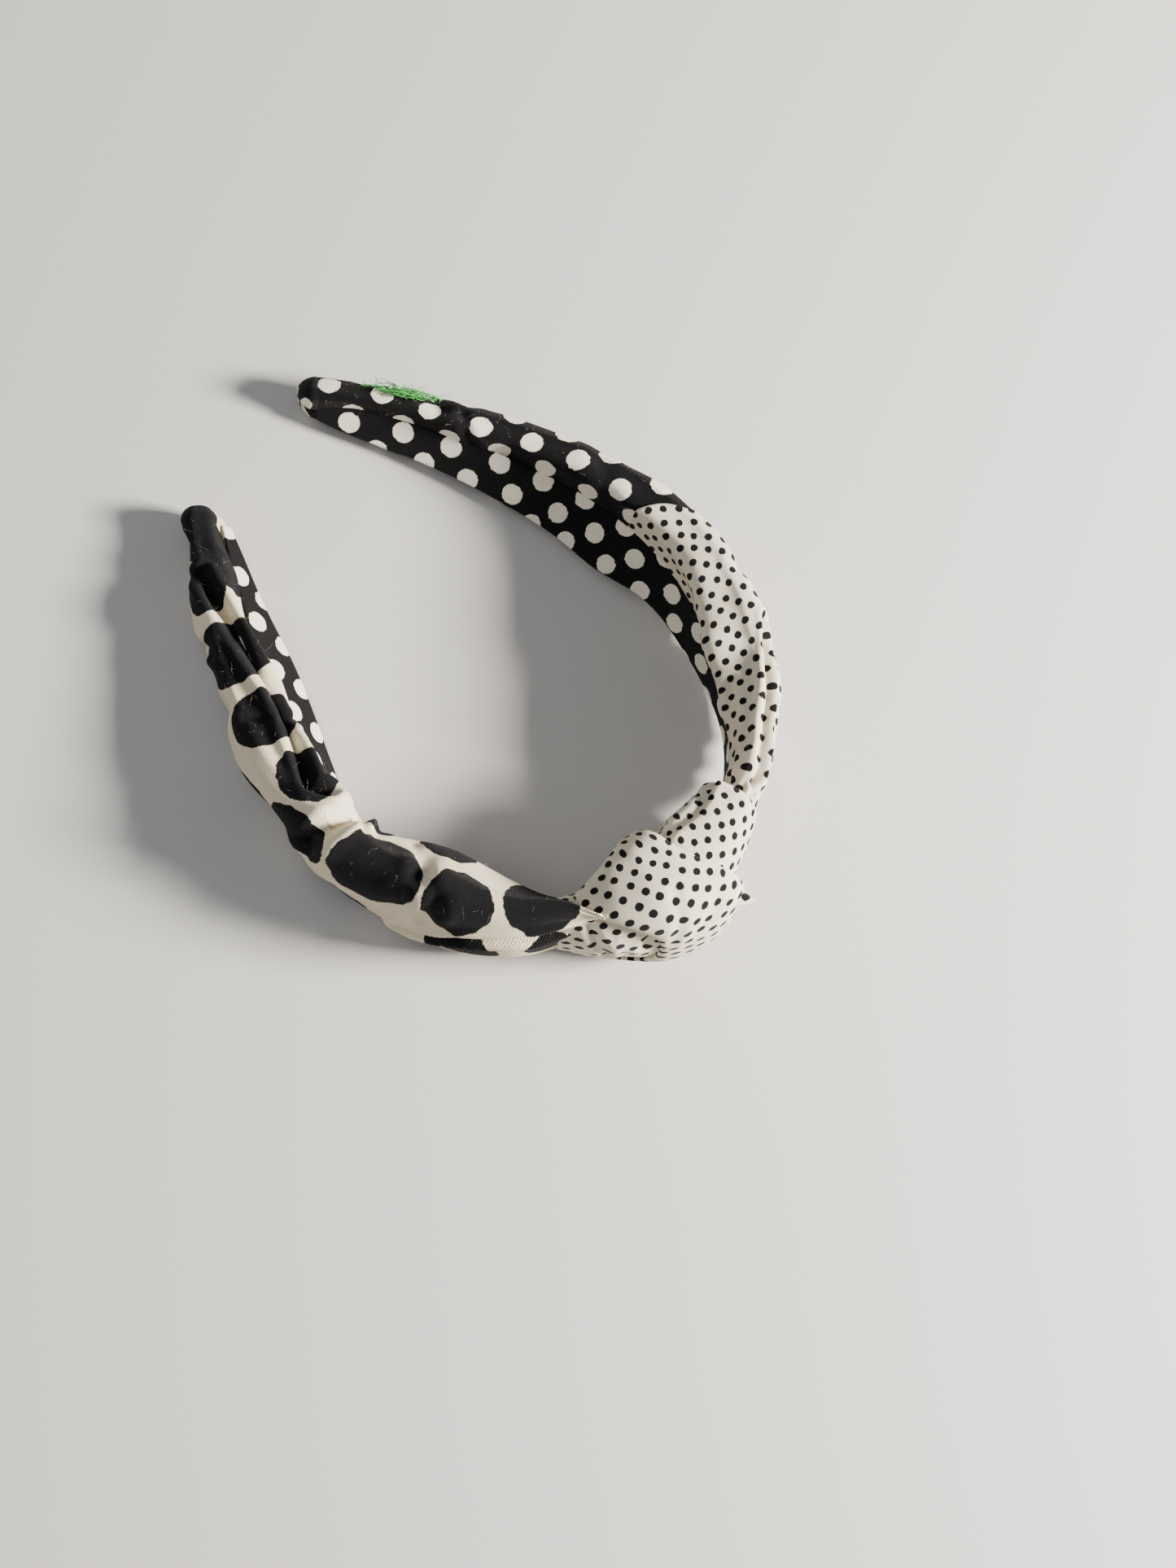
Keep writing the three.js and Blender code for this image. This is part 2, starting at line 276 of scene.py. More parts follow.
def flex(piece, arm):
    """Bakes the piece's transform into its mesh. It works out the stretch where the piece would bend from the
    crown into its arm, along the arch's direction at the pivot, but does not bend it.
    """
    joint, root, side = (left_joint, LEFT_ROOT, -1) if arm == "left_arm" else (right_joint, RIGHT_ROOT, 1)
    nx, ny = (float(value) for value in arch(np.array(float(root)))[2:4])
    onward = side * (-ny * np.array((1, 0, 0)) + nx * band_along)
    start, end = (np.array(joint["pos_m"]) + MM * reach * onward for reach in FLEX_BLEND)
    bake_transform(piece)


CORE_HALF, CORE_TIP_HALF, CORE_THICK = 11, 3, 1.6
CORE_END = 6  # mm from the core's end to the arm's
core_finish = moulded_plastic()


def strip(name, start, end, lower, upper, inner, outer, rows=160, columns=14):
    """A thin strip along the arch, between the edges lower(s) and upper(s) across the band. Its section
    is a rounded slot: across = middle + half * cos(a) ^ 0.3 and out = middle + thickness / 2 * sin(a) ^ 0.6,
    with the signs kept."""
    s = np.linspace(start, end, rows)[:, None] + np.zeros(columns * 2 + 1)
    a = np.linspace(0, 2 * np.pi, columns * 2 + 1)[None, :] + 0 * s
    half, middle = (upper(s) - lower(s)) / 2, (upper(s) + lower(s)) / 2
    across = middle + half * np.sign(np.cos(a)) * np.abs(np.cos(a)) ** 0.3
    out = (inner + outer) / 2 + (outer - inner) / 2 * np.sign(np.sin(a)) * np.abs(np.sin(a)) ** 0.6
    uv = np.stack([s, across], -1)
    return grid(name, place(s, across, out), uv, wrap=True, poles=(True, True))


def face_out(piece):
    """Turns all faces outwards on a closed piece, by the sign of its volume."""
    mesh = piece.data
    points = np.empty(len(mesh.vertices) * 3)
    mesh.vertices.foreach_get("co", points)
    mesh.calc_loop_triangles()
    corners = np.empty(len(mesh.loop_triangles) * 3, int)
    mesh.loop_triangles.foreach_get("vertices", corners)
    a, b, c = points.reshape(-1, 3)[corners.reshape(-1, 3)].transpose(1, 0, 2)
    if np.einsum("ij,ij->", a, np.cross(b, c)) < 0:
        mesh.flip_normals()


def finish_piece(piece, material):
    piece.data.materials.append(material)


def core_half(s):
    """Half the core's width, which narrows evenly from the knot to the tips."""
    return CORE_HALF + (CORE_TIP_HALF - CORE_HALF) * np.abs(s) / TIP


for arm, tip, near in (("left_arm", -TIP + CORE_END, KNOT), ("right_arm", TIP - CORE_END, KNOT + 0.5)):
    short = arm.split("_")[0]
    core = strip(f"plastic_core_{short}", near, tip, lambda s: -core_half(s), core_half,
                 -CORE_THICK / 2, CORE_THICK / 2)
    face_out(core)
    finish_piece(core, core_finish)
    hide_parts(f"core_{short}", *(["core_crown"] if short == "left" else []))
    flex(core, arm)

# Padded arms. A foam pad lies along the outside of the core, and printed cloth is folded round both
# and glued down on the inside. Cloth that has more length than the pad puckers and rolls at the edges.
LIP = -2.6  # the inside face of the padded arms, in mm out from the core's middle


def section(turn, half, inside, outside, boxy=2.5):
    """Rounded section round the core. turn is 0 in the middle of the inside, pi/2 at the upper edge
    and pi in the middle of the outside. Each half is a superellipse about a middle line that lies
    40% of the way out: across = half * sin^(2/boxy), out = middle -+ depth * cos^(2/k)."""
    middle = inside + 0.4 * (outside - inside)
    across = half * np.sign(np.sin(turn)) * np.abs(np.sin(turn)) ** (2 / boxy)
    cos = np.cos(turn)
    out = np.where(cos > 0, middle - (middle - inside) * np.abs(cos) ** (2 / 4.5),
                   middle + (outside - middle) * np.abs(cos) ** (2 / 2.2))
    return across, out


def girth(across, out, turn):
    """Distance round the section in mm, nought at the upper edge and growing towards the outside."""
    step = np.hypot(np.diff(across, axis=1), np.diff(out, axis=1))
    run = np.concatenate([np.zeros_like(step[:, :1]), np.cumsum(step, 1)], 1)
    top = np.argmin(np.abs(turn[0] - np.pi / 2))
    return run - run[:, top:top + 1]


def push(across, out, depth):
    """Moves a section's points outwards, square to the section, by depth in mm."""
    da, do = np.gradient(across, axis=1), np.gradient(out, axis=1)
    size = np.hypot(da, do) + 1e-9
    return across + depth * do / size, out - depth * da / size


def crease(s, g, path, depth, width):
    """A valley along a path of (s, girth) points, with a low roll on both sides of it."""
    near = np.full(s.shape, 1e9)
    for (s0, g0), (s1, g1) in zip(path, path[1:]):
        length = (s1 - s0) ** 2 + (g1 - g0) ** 2
        t = np.clip(((s - s0) * (s1 - s0) + (g - g0) * (g1 - g0)) / length, 0, 1)
        near = np.minimum(near, np.hypot(s - s0 - t * (s1 - s0), g - g0 - t * (g1 - g0)))
    return -depth * np.exp(-(near / width) ** 2) + 0.35 * depth * np.exp(-((near - 2.2 * width) / width) ** 2)


def wrinkles(s, g, seed, count, span, depth):
    """Many short creases at random places within span = (s0, s1, g0, g1), mostly across the band."""
    draw = np.random.default_rng(seed)
    total = 0 * s
    for _ in range(count):
        at = np.array((draw.uniform(*span[:2]), draw.uniform(*span[2:])))
        angle = draw.normal(np.pi / 2, 0.5)
        reach = draw.uniform(3, 9) * np.array((math.cos(angle), math.sin(angle)))
        deep, wide = depth * draw.uniform(0.3, 1), draw.uniform(0.9, 2.2)
        total = total + crease(s, g, [at - reach, at + reach], deep, wide)
    return total


def billow(s, g, seed, size, depth):
    """Soft uneven swelling: eight sine waves of random direction, with wavelengths near size."""
    draw = np.random.default_rng(seed)
    total = 0 * s
    for _ in range(8):
        angle, phase = draw.uniform(0, 2 * np.pi, 2)
        wave = 2 * np.pi / (size * draw.uniform(0.7, 1.6))
        total = total + np.sin(wave * (s * math.cos(angle) + g * math.sin(angle)) + phase)
    return depth * total / 4


def cloth(name, ground, ink, printed, rib=1.0):
    """Printed cotton. printed(finish, place) gives the ink's mask from the place on the cloth
    in mm. The weave is two sets of fine diagonal ribs, 0.6 and 0.45 mm apart times rib; ink dulls and the
    ground yellows unevenly."""
    finish = Finish(name)
    cloth_mm = finish.node("ShaderNodeUVMap", {"uv_map": "UVMap"})
    u = finish.node("ShaderNodeSeparateXYZ", None, cloth_mm)
    v = Value(finish, u.socket.node.outputs[1])
    slub = finish.noise(cloth_mm, 0.9, 3)
    drift = finish.noise(cloth_mm, 0.07, 3)
    fleck = finish.noise(cloth_mm, 6, 2)
    twill = ((u + v * 0.8 + slub * 0.35) * (2 * math.pi / (0.62 * rib))).sine()
    thread = ((u * 0.9 - v + slub * 0.3) * (2 * math.pi / (0.45 * rib))).sine()
    weave = (0.35 + 0.25 * rib) * twill + (0.65 - 0.25 * rib) * thread + 0.7 * fleck
    mask = printed(finish, cloth_mm, u, v)
    pale = finish.mix(drift, tuple(0.93 * c for c in ground[:3]) + (1,), ground)
    pale = finish.mix(weave.step(-1.1, 1.4) * 0.75 + 0.25, tuple(0.76 * c for c in ground[:3]) + (1,), pale)
    dark = finish.mix(fleck * 0.8, ink, tuple(min(1, 1.8 * c + 0.002) for c in ink[:3]) + (1,))
    finish.set(Base_Color=finish.mix(mask, pale, dark), Roughness=0.78 + 0.12 * slub,
               Sheen_Weight=0.04, Sheen_Roughness=0.3, Specular_IOR_Level=0.14,
               Normal=finish.bump(weave + 1.5 * slub, 0.00012 * rib, 0.9))
    return finish.material


DOT_EDGE = 0.12  # mm over which a dot's edge fades, to each side


def lattice(pitch, radius, ragged, turn, loose=0.15):
    """A print of round dots of the given radius in mm, on a square net of the given pitch in mm that is
    turned by some degrees. ragged moves their outlines, in mm, and loose their places, in pitches."""
    def printed(finish, place_mm, u, v):
        wobble = finish.noise(place_mm, 0.8, 2) - 0.5
        across = u + wobble * ragged
        along = v - wobble * ragged
        c, s = math.cos(math.radians(turn)), math.sin(math.radians(turn))
        net = finish.node("ShaderNodeCombineXYZ", None, (across * c + along * s) / pitch,
                          (along * c - across * s) / pitch)
        cells = finish.node("ShaderNodeTexVoronoi", {"voronoi_dimensions": "2D"}, Vector=net, Scale=1.0,
                            Randomness=loose)
        return cells.step((radius + DOT_EDGE) / pitch, (radius - DOT_EDGE) / pitch)
    return printed


SPOT_WANDER, SPOT_EDGE = 2.2, 0.018  # mm, and the part of a spot's size over which its edge fades


def spots(layout):
    """A print of large hand-cut spots. Each is (s, girth, half length, half height) in mm; the mask is
    the least of their distances, with each spot's outline wandering a little."""
    def printed(finish, place_mm, u, v):
        wobble = finish.node("ShaderNodeTexNoise", None, output=1, Vector=place_mm, Scale=0.3, Detail=4.0)
        shifted = finish.vector("ADD", place_mm, finish.vector(
            "MULTIPLY", finish.vector("SUBTRACT", wobble, (0.5, 0.5, 0.5)), (SPOT_WANDER, SPOT_WANDER, 0)))
        nearest = None
        for s, g, half_s, half_g in layout:
            away = finish.vector("SUBTRACT", shifted, (s, g, 0))
            away = finish.vector("MULTIPLY", away, (1 / half_s, 1 / half_g, 0))
            size = finish.vector("LENGTH", away, output=1)
            nearest = size if nearest is None else nearest.least(size)
        return nearest.step(1 + SPOT_EDGE, 1 - SPOT_EDGE)
    return printed


def foam():
    """Pale open-cell foam: fine pits and uneven yellowing."""
    finish = Finish("pad_foam")
    here = finish.node("ShaderNodeTexCoord", output=3)
    cells = finish.node("ShaderNodeTexVoronoi", None, Vector=here, Scale=1500.0)
    tint = finish.noise(here, 60, 3)
    finish.set(Base_Color=finish.mix(tint, (0.78, 0.74, 0.62, 1), (0.86, 0.83, 0.74, 1)),
               Roughness=0.9 + 0.08 * tint, Normal=finish.bump(cells, 0.0002))
    return finish.material


# Each cloth's ground and ink. The spots are placed along the arm and round its girth.
GROUND = (0.82, 0.72, 0.53, 1)
BLACK = (0.0035, 0.0033, 0.004, 1)
big_spot_cloth = cloth("big_spot_cloth", GROUND, BLACK, spots([
    (-185, 0, 8.6, 16), (-169.5, -2, 8.5, 6), (-174, -12.5, 9, 8), (-149.5, -5, 8.6, 11),
    (-130.5, -7, 7.2, 9.2), (-119, 12, 8.5, 6.5), (-112, -8, 7.8, 7.5), (-104, 6, 8.5, 6.3),
    (-84.5, 2.6, 10.4, 11), (-65, 2.6, 8.0, 9.0), (-46.5, -3, 9.2, 10.5), (-62, 20, 8.5, 6),
    (-42.5, 15.5, 6.5, 5.5), (-91, -14.5, 5, 4.5), (-72, -14, 8, 5), (-93, 27, 9, 7),
    (-140, 15, 7.5, 6.5), (-160, 15, 7, 6), (-72, 40, 9, 8), (-112, 33, 9, 9), (-132, 32, 8, 7),
    (-50, 42, 8, 8), (-94, 49, 9, 8), (-152, 28, 7, 6), (-128, -26, 8, 5), (-52, -20, 7, 6),
    (-148, -27, 7, 4)]))
dark_dot_cloth = cloth("dark_dot_cloth", BLACK, GROUND, lattice(9.3, 2.85, ragged=0.8, turn=48))
lining_cloth = cloth("lining_dot_cloth", BLACK, GROUND, lattice(9.3, 2.85, ragged=0.8, turn=42))
pin_dot_cloth = cloth("pin_dot_cloth", (0.82, 0.74, 0.58, 1), BLACK,
                      lattice(3.6, 0.95, ragged=0.4, turn=40, loose=0.16), rib=0.6)
pad_foam = foam()

LOWER_LIP = 1.0  # turn in radians below the middle of the inside, where the cloth's lower edge is glued down


def arm_surface(start, end, half, dome, roll, lip, folds, rows, columns, inset=0.0, closed=False):
    """Cloth over an arm, or the pad in it when closed. start may depend on the turn, and lip is the turn
    of the cloth's upper edge on the inside. The roll is a bulge of the upper inside edge, in mm at its
    highest: a bell over the turn, centred 0.55 above the lip, as wide as 0.36. Rows run towards
    growing s, so that the faces look outwards."""
    turn = np.linspace(0 if closed else lip, 2 * np.pi - (0 if closed else LOWER_LIP), columns)[None, :]
    t = np.linspace(0, 1, rows)[:, None]
    first = start(turn) if callable(start) else start
    s = first + (end - first) * t + 0 * turn
    s = s if s[0, 0] < s[-1, 0] else s[::-1]
    turn = turn + 0 * t
    bulge = roll(s) * np.exp(-((turn - lip - 0.55) / 0.36) ** 2)
    across, out = push(*section(turn, half(s), LIP, dome(s)), bulge)
    g = girth(across, out, turn)
    across, out = push(across, out, folds(s, g) - inset)
    return s, g, across, out


# The left arm along its length, in mm: half width, height of the padding and bulge of the upper roll.
left_half = through((30, 15), (45, 16), (60, 17), (100, 15.2), (140, 11.4), (170, 8.6), (192, 7))
left_dome = through((34, 6), (48, 9), (62, 11), (86, 10.8), (110, 10.4), (125, 9.2), (150, 6.8), (192, 4.2))
left_roll = through((40, 2), (56, 4.5), (76, 6.2), (94, 3.4), (100, 1.5), (106, 4), (122, 6), (140, 5.2),
                    (160, 3.4), (190, 1.2))


def gathers(s, g, mouth, reach, depth):
    """Fine pleats that run into a gathered end and die out over reach mm. Their spacing wanders."""
    wave = np.sin(g * 2.1 + 1.7 * np.sin(g * 0.31) + 0.8 * np.sin(s * 0.22))
    return depth * wave * np.exp(-np.abs(s - mouth) / reach)


def left_folds(s, g):
    """The long crease from the tip to the middle of the arm, the pleats beside it, the fold that makes
    the lower roll by the knot, and soft swelling."""
    depth = crease(s, g, [(-172, -2), (-164, -4.5), (-156, -7), (-145, -10), (-138, -12), (-129, -12.5),
                          (-117, -10), (-110, -7.5), (-106, -10)], 3.4, 1.4)
    depth = depth + crease(s, g, [(-97, -16), (-98.5, -3), (-101, 8)], 3.2, 2.0)
    depth = depth + crease(s, g, [(-76, 25), (-68.5, 19), (-62, 14.4), (-51.5, 10.6), (-38, 8)], 4.2, 1.2)
    depth = depth + billow(s, g, 3, 24, 0.9) + gathers(s, g, -36, 5, 0.3)
    return depth + wrinkles(s, g, 5, 34, (-182, -52, -14, 50), 1.1)


left_spread = through((98, 0), (115, 0.22), (150, 0.3), (170, 0.12), (180, 0), (186, -0.25), (194, -0.6))


def left_gather(s, across, out):
    """The cover's end at the knot is drawn together into an upright point that leans on the wrap. Its
    lower edge spreads a little along the arm, and is drawn up at the tip."""
    across = np.where(across < 0, across * (1 + left_spread(s)), across)
    drawn = np.clip((s + 56) / 23, 0, 1) ** 3
    out = out + (2 + 3 * smooth((s + 44) / 10) - out) * drawn
    across = np.where(across < 0, across * (1 - 0.45 * drawn), across * (1 + 0.08 * drawn))
    return across, out


# The right arm, in the same way.
right_half = through((8, 10), (18, 12.5), (30, 16.4), (38, 17), (60, 17), (100, 15), (140, 10.5), (170, 7.6),
                     (196, 6.4))
right_dome = through((8, 4), (22, 4.6), (40, 6.4), (80, 6.8), (120, 6.4), (160, 5.2), (196, 4.2))
right_draw = through((30, 0), (60, 0.12), (80, 0.2), (92, 0.12), (99, 0), (174, 0), (184, 0.2), (190, 0.6),
                     (196, 0.8))
right_roll = through((10, 0), (20, 1), (32, 4.6), (42, 6.8), (62, 8.6), (78, 5), (90, 3.5), (120, 3.6),
                     (150, 3.4), (196, 2))


def right_folds(s, g):
    """Soft swelling and short puckers, with a long shallow crease on the outside near the knot and a
    pleat along the upper edge beside it."""
    depth = crease(s, g, [(64, 14), (52, 12), (38, 10), (22, 5)], 1.6, 1.1)
    depth = depth + crease(s, g, [(18, -6), (30, -8), (44, -9)], 1.0, 1.4)
    depth = depth + crease(s, g, [(58, 3), (45.5, 1.4), (33, 0.4), (18, 1.8)], 1.7, 0.9)
    depth = depth + billow(s, g, 8, 22, 0.65) + gathers(s, g, 12, 9, 0.5)
    return depth + wrinkles(s, g, 9, 34, (14, 184, -14, 42), 0.9)


def right_gather(s, across, out):
    """The lower edge is drawn up a little between the knot and the seam, and more at the tip."""
    return np.where(across < 0, across * (1 - right_draw(s)), across), out


def seam_line(turn):
    """Where the pin-dot cover meets the dark one: the seam slants from the inside down to the outside."""
    return 99 - 9 * np.clip(turn - 0.6, 0, 2.2)


def left_mouth(turn):
    """The left cover's end at the knot: furthest on top, where it is a point."""
    return -40 + 8 * np.exp(-((turn - 1.75) / 0.5) ** 2)


CLOTH_THICK = 0.6 * MM


def cover_piece(name, arm, start, end, sizes, folds, gather, material, node, rows, proud=0.0,
                whole=True):
    """One arm's cloth from start to end, proud of the pad by some mm more where it laps over another.
    A whole cover has its transform baked in place, and another rides on the arm."""
    s, g, across, out = arm_surface(start, end, *sizes, folds, rows, 130, inset=-proud)
    across, out = gather(s, across, out)
    piece = grid(name, place(s, across, out), np.stack([s, g], -1))
    finish_piece(piece, material)
    thick = piece.modifiers.new("cloth_thickness", "SOLIDIFY")
    thick.thickness = CLOTH_THICK
    thick.offset = -1
    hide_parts(node)
    if whole:
        flex(piece, arm)
    else:
        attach(piece, arm)


LEFT_SIZES = left_half, left_dome, left_roll, -0.2
RIGHT_SIZES = right_half, right_dome, right_roll, 0.02
RIGHT_TIP = 193
cover_piece("big_spot_cover", "left_arm", left_mouth, -TIP, LEFT_SIZES, left_folds, left_gather,
            big_spot_cloth, "cover_left", 240)
cover_piece("pin_dot_cover", "right_arm", seam_line, 9, RIGHT_SIZES, right_folds, right_gather,
            pin_dot_cloth, "cover_right_pin_dot", 120, proud=0.5)
cover_piece("dark_dot_cover", "right_arm", 70, RIGHT_TIP - 5, RIGHT_SIZES, right_folds, right_gather,
            dark_dot_cloth, "cover_right_dark", 160, whole=False)

# The pads are the covers' shapes, 1.5 mm inside them and then drawn in towards their middles. They stop
# short of the tips, where the arms are thin.
for short, sizes, folds, start, end in (("left", LEFT_SIZES, left_folds, LEFT_ROOT - 14, -TIP + 28),
                                        ("right", RIGHT_SIZES, right_folds, KNOT + 2, RIGHT_TIP - 20)):
    s, g, across, out = arm_surface(start, end, *sizes, folds, 200, 181, inset=1.5, closed=True)
    middle = (LIP + sizes[1](s)) / 2
    across, out = 0.87 * across, middle + 0.82 * (out - middle)
    across, out = (left_gather if short == "left" else right_gather)(s, across, out)
    pad = grid(f"foam_pad_{short}", place(s, across, out), np.stack([s, g], -1), wrap=True, poles=(True, True))
    face_out(pad)
    finish_piece(pad, pad_foam)
    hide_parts(f"pad_{short}", *(["pad_crown"] if short == "left" else []))
    flex(pad, f"{short}_arm")

# Lining. A strip of black cloth with off-white dots, glued over the cover's edges on the inside.
LINING = 0.8
for short, half, upper, start, end in (("left", left_half, -1.4, KNOT, -TIP + 2),
                                       ("right", right_half, 2.4, KNOT + 0.5, RIGHT_TIP - 5)):
    lining = strip(f"lining_strip_{short}", start, end,
                   lambda s, half=half: 1.2 - half(s) * (1 - np.where(s > 0, right_draw(s), -left_spread(s))),
                   lambda s, upper=upper: upper + 0 * s, LIP - 0.3 - LINING, LIP - 0.3, rows=200, columns=24)
    face_out(lining)
    finish_piece(lining, lining_cloth)
    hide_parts(f"lining_{short}", *(["lining_crown"] if short == "left" else []))
    flex(lining, f"{short}_arm")

# Folded ends. The cover is turned over each end of the core as a small blunt cap.


def tip_cap(name, side, tip, sizes, folds, gather, material, node, arm):
    """A cap over the arm's end: the arm's section, drawn to its middle as a quarter ellipse of the
    distance, over the last 5 mm. It starts 7 mm under the cover."""
    turn = np.linspace(0, 2 * np.pi, 97)[None, :]
    t = np.linspace(0, 1, 48)[:, None]
    reach = np.sin(t * np.pi / 2)
    s = side * (tip - 12 + 12 * reach) + 0 * turn
    turn = turn + 0 * t
    half, dome, roll, lip = sizes
    bulge = roll(s) * np.exp(-((turn - lip - 0.55) / 0.36) ** 2)
    across, out = push(*section(turn, half(s), LIP - 0.4, dome(s)), bulge)
    g = girth(across, out, turn)
    across, out = push(across, out, folds(s, g) - 0.9 + 1.3 * smooth((t - 0.2) / 0.3))
    across, out = gather(s, across, out)
    shrink = np.sqrt(np.clip(1 - np.clip((reach - 0.5) / 0.5, 0, 1) ** 2.4, 0.0004, 1))
    across, out = across * shrink + 2.4 * (1 - shrink), 1.0 + (out - 1.0) * shrink
    uv = np.stack([s + side * 5 * (1 - shrink), g * shrink], -1)
    cap = grid(name, place(s, across, out), uv, wrap=True, poles=(True, True))
    face_out(cap)
    finish_piece(cap, material)
    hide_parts(node)
    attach(cap, arm)


tip_cap("folded_end_left", -1, TIP + 4, LEFT_SIZES, left_folds, left_gather, big_spot_cloth,
        "tip_fold_left", "left_arm")
tip_cap("folded_end_right", 1, RIGHT_TIP, RIGHT_SIZES, right_folds, right_gather, dark_dot_cloth,
        "tip_fold_right", "right_arm")

# Knot. One strip of pin-dot cloth, tied over the crown: a strap comes in from the right arm, a fat
# wrap goes round the band over it, and the tail leaves under the left cover.


HEM = 2.2


def sleeve_piece(name, start, end, half, inside, outside, folds, node):
    """A closed puffy sleeve of cloth round the crown. half, inside and outside are functions of s.
    At each end the section draws in as a hem with a quarter-round edge."""
    t = np.linspace(0, 1, 90)[:, None]
    turn = np.linspace(0, 2 * np.pi, 121)[None, :]
    s = start + (end - start) * t + 0 * turn
    across, out = section(turn + 0 * t, half(s), inside(s), outside(s), boxy=2.6)
    g = girth(across, out, turn + 0 * t)
    edge = np.minimum((s - start) / (end - start), (end - s) / (end - start)) * abs(end - start)
    hem = -HEM * (1 - np.sqrt(np.clip(1 - (1 - np.clip(edge / HEM, 0, 1)) ** 2, 0, 1)))
    across, out = push(across, out, folds(s, g) + hem)
    piece = grid(name, place(s, across, out), np.stack([s, g], -1), wrap=True, poles=(True, True))
    face_out(piece)
    finish_piece(piece, pin_dot_cloth)
    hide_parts(node)
    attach(piece, "crown")


def level(*values):
    """A function of s through (s, value) points, with straight lines between them."""
    at, value = zip(*values)
    return lambda s: np.interp(s, at, value)


def strap_folds(s, g):
    return (wrinkles(s, g, 31, 7, (-10, 14, -20, 40), 0.6) + billow(s, g, 32, 18, 0.4)
            + crease(s, g, [(13, -6), (2, -4), (-8, -6)], 1.2, 1.3))


def tail_folds(s, g):
    return wrinkles(s, g, 41, 14, (-40, -20, -20, 60), 0.9) + billow(s, g, 42, 16, 0.4)


sleeve_piece("knot_upper_strap", -20, 14, level((-20, 15.5), (-8, 17.5), (14, 17)),
             level((-20, -9), (-4, -12), (14, -9.5)), level((-20, 9), (-4, 10), (14, 6)),
             strap_folds, "knot_strap")
sleeve_piece("knot_lower_tail", -44, -18, level((-44, 13), (-30, 15), (-18, 15)),
             level((-44, -3), (-18, -8)), level((-44, 5.5), (-38, 7), (-30, 11), (-18, 13)),
             tail_folds, "knot_tail")


def front_wrap():
    """A fat ring of cloth round the band. Round the band it follows a superellipse, and across the
    strip it is a lens. Its middle and half width along the arch depend on how far out it is, which
    gives the leaf shape on top."""
    turn = np.linspace(0, 2 * np.pi, 181)[:, None]
    around = np.linspace(0, 2 * np.pi, 65)[None, :]
    across, out = section(turn + 0 * around, 19.2, -11.5, 13.4, boxy=2.7)
    da, do = np.gradient(across, axis=0), np.gradient(out, axis=0)
    size = np.hypot(da, do) + 1e-9
    heights = (-12, -10, -6, -2, 2, 6, 11, 15, 18)
    middle = np.interp(out, heights, (-17, -19, -22, -24, -22, -18, -13, -10, -8))
    wide = np.interp(out, heights, (5, 7, 11, 15, 15, 13.5, 11, 9.5, 8))
    s = middle + wide * np.cos(around)
    across = across * np.interp(s, (-44, -36, -30, -22, -12, -5, 0), (0.62, 0.76, 0.9, 1.0, 1.0, 0.94, 0.86))
    puff = 3.0 * np.sign(np.sin(around)) * np.abs(np.sin(around)) ** 1.2
    step = np.hypot(np.diff(across, axis=0), np.diff(out, axis=0))
    run = np.concatenate([0 * step[:1], np.cumsum(step, 0)])
    folds = wrinkles(s, run, 51, 9, (-40, -2, 0, 110), 0.7) + billow(s, run, 52, 18, 0.5)
    puff = puff + folds * np.maximum(np.sin(around), 0)
    across, out = across + puff * do / size, out - puff * da / size
    top = np.argmin(np.abs(turn[:, 0] - 2.1))
    uv = np.stack([s, 1.12 * (run - run[top])], -1)
    return close_ring(grid("knot_front_wrap_cloth", place(s, across, out), uv))


def close_ring(piece):
    """Merges the doubled first and last rows and columns of a ring."""
    mesh = bmesh.new()
    mesh.from_mesh(piece.data)
    bmesh.ops.remove_doubles(mesh, verts=mesh.verts, dist=1e-7)
    mesh.to_mesh(piece.data)
    mesh.free()
    face_out(piece)
    return piece


wrap = front_wrap()
finish_piece(wrap, pin_dot_cloth)
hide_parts("knot_front_wrap")
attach(wrap, "crown")

# Corner tuck. A pointed corner of the tied strip that sticks out beside the wrap.


def corner_tuck():
    """A folded corner: a flat cone from a wide base to a point, lens-shaped in section."""
    t = np.linspace(0, 1, 30)[:, None]
    around = np.linspace(0, 2 * np.pi, 41)[None, :]
    s = -9.5 + 7.5 * t + (7.5 * (1 - t) ** 1.1 + 0.1) * np.cos(around)
    out = 8.5 + 9.3 * t + 0 * around
    across = 6 + 1.2 * t + (6.5 * (1 - t) ** 1.1 + 0.1) * np.sin(around)
    uv = np.stack([s + 2.4, out + 0.4 * across], -1)
    piece = grid("knot_corner", place(s, across, out), uv, wrap=True, poles=(True, True))
    face_out(piece)
    return piece


tuck = corner_tuck()
finish_piece(tuck, pin_dot_cloth)
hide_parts("knot_corner_tuck")
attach(tuck, "crown")

# Green thread. A tuft of loose thread ends caught on the dark cover near the right tip.
green = Finish("green_thread")
here = green.node("ShaderNodeTexCoord", output=3)
strands = green.noise(here, 2500, 2)
green.set(Base_Color=green.mix(strands, (0.012, 0.13, 0.02, 1), (0.12, 0.55, 0.10, 1)),
          Roughness=0.5 + 0.2 * strands, Normal=green.bump(strands, 0.00005))


